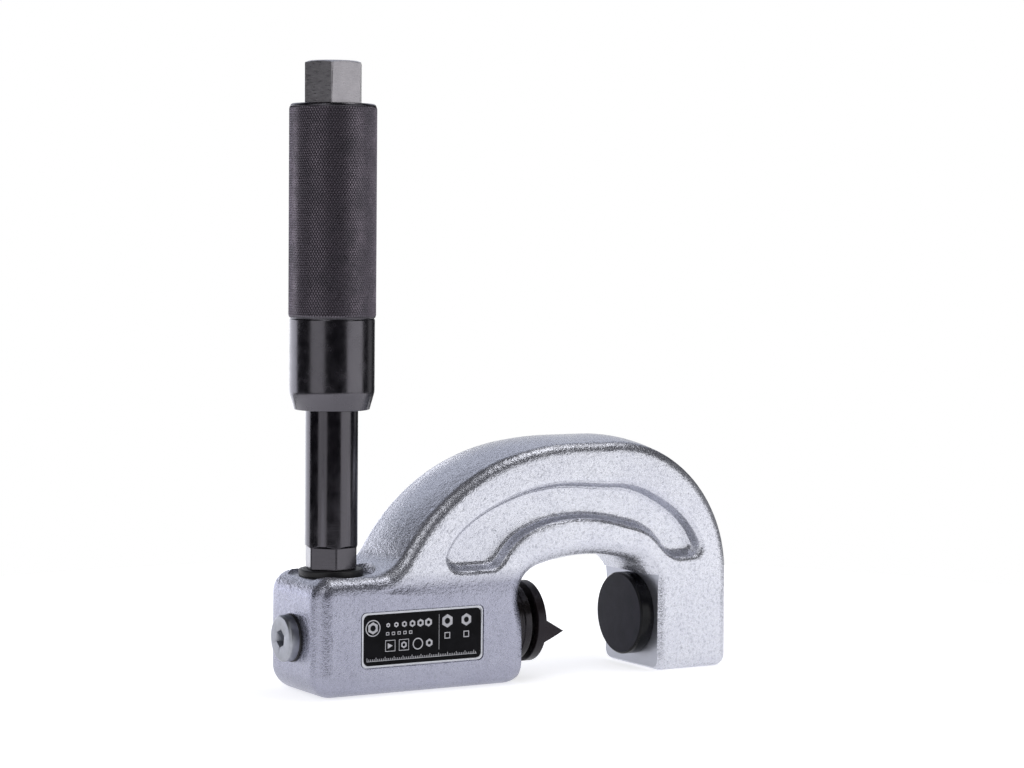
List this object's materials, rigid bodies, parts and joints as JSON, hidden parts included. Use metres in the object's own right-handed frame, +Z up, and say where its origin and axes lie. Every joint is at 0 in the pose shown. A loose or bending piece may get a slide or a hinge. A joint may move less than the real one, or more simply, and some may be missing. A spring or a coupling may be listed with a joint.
{
  "type": "hydraulic nut splitter",
  "caption": "Cast C-frame nut splitter: a hex-driven screw pump pushes a round ram with a chisel towards an anvil pad in the jaw",
  "frame": {"origin": "on the block's underside, straight below the handle's axis", "axes": "+X along the ram from the port plug to the jaw, +Y away from the side with the nameplate, +Z up along the handle"},
  "size_m": [0.2509, 0.055, 0.31],
  "materials": {
    "cast_silver": "rough casting under a silver metallic coat",
    "plate": "black printed field with a bare silver border",
    "plug_steel": "turned, zinc plated",
    "seal_black": "smooth black rubber",
    "black_oxide": "turned, black oxide, oiled",
    "black_oxide_grip": "diamond knurl and turned collar, black oxide",
    "bronze": "bearing bronze",
    "hardened_black": "ground face, black oxide",
    "hardened_brown": "hardened tool steel, dark temper",
    "spring_steel": "drawn spring wire",
    "ground_steel": "ground and polished",
    "guide_resin": "woven resin guide band",
    "backup_white": "white sealing plastic",
    "hex_steel": "milled flats, bare steel"
  },
  "bodies": {
    "housing": {"frame": "cast_silver", "name_plate": "plate", "port_plug": "plug_steel", "port_plug_seal": "seal_black", "pump_tube": "black_oxide", "tube_washer": "seal_black", "gland_nut": "black_oxide", "gland_seal": "seal_black", "gland_bush": "bronze", "gland_wiper": "seal_black", "anvil_pad": "hardened_black", "anvil_ring": "seal_black", "return_spring": "spring_steel"},
    "ram": {"piston": "ground_steel", "piston_seal": "seal_black", "piston_guide": "guide_resin"},
    "chisel": {"chisel": "hardened_brown", "chisel_ring": "spring_steel"},
    "plunger": {"plunger": "ground_steel", "plunger_seal": "seal_black", "plunger_backup": "backup_white", "thrust_ball": "ground_steel"},
    "handle": {"drive_screw": "hex_steel", "grip_sleeve": "black_oxide_grip", "grip_wiper": "seal_black", "grip_bush": "bronze", "grip_pin": "ground_steel"}
  },
  "joints": [
    {"name": "plunger_slide", "type": "slide", "parent": "housing", "child": "plunger", "axis": [0, 0, -1], "range_m": [0, 0.06]},
    {"name": "handle_turn", "type": "hinge", "parent": "plunger", "child": "handle", "pos_m": [0, 0, 0.2], "axis": [0, 0, -1], "range_deg": [0, 10800]},
    {"name": "ram_slide", "type": "slide", "parent": "housing", "child": "ram", "axis": [1, 0, 0], "range_m": [0, 0.01347], "deforming": ["return_spring"]},
    {"name": "chisel_swivel", "type": "hinge", "parent": "ram", "child": "chisel", "pos_m": [0.11, 0, 0.0282], "axis": [1, 0, 0], "continuous": true}
  ],
  "couplings": [
    {"joint": "handle_turn", "follows": "plunger_slide", "rad_per_m": 3141.6},
    {"joint": "ram_slide", "follows": "plunger_slide", "ratio": 0.22437}
  ]
}
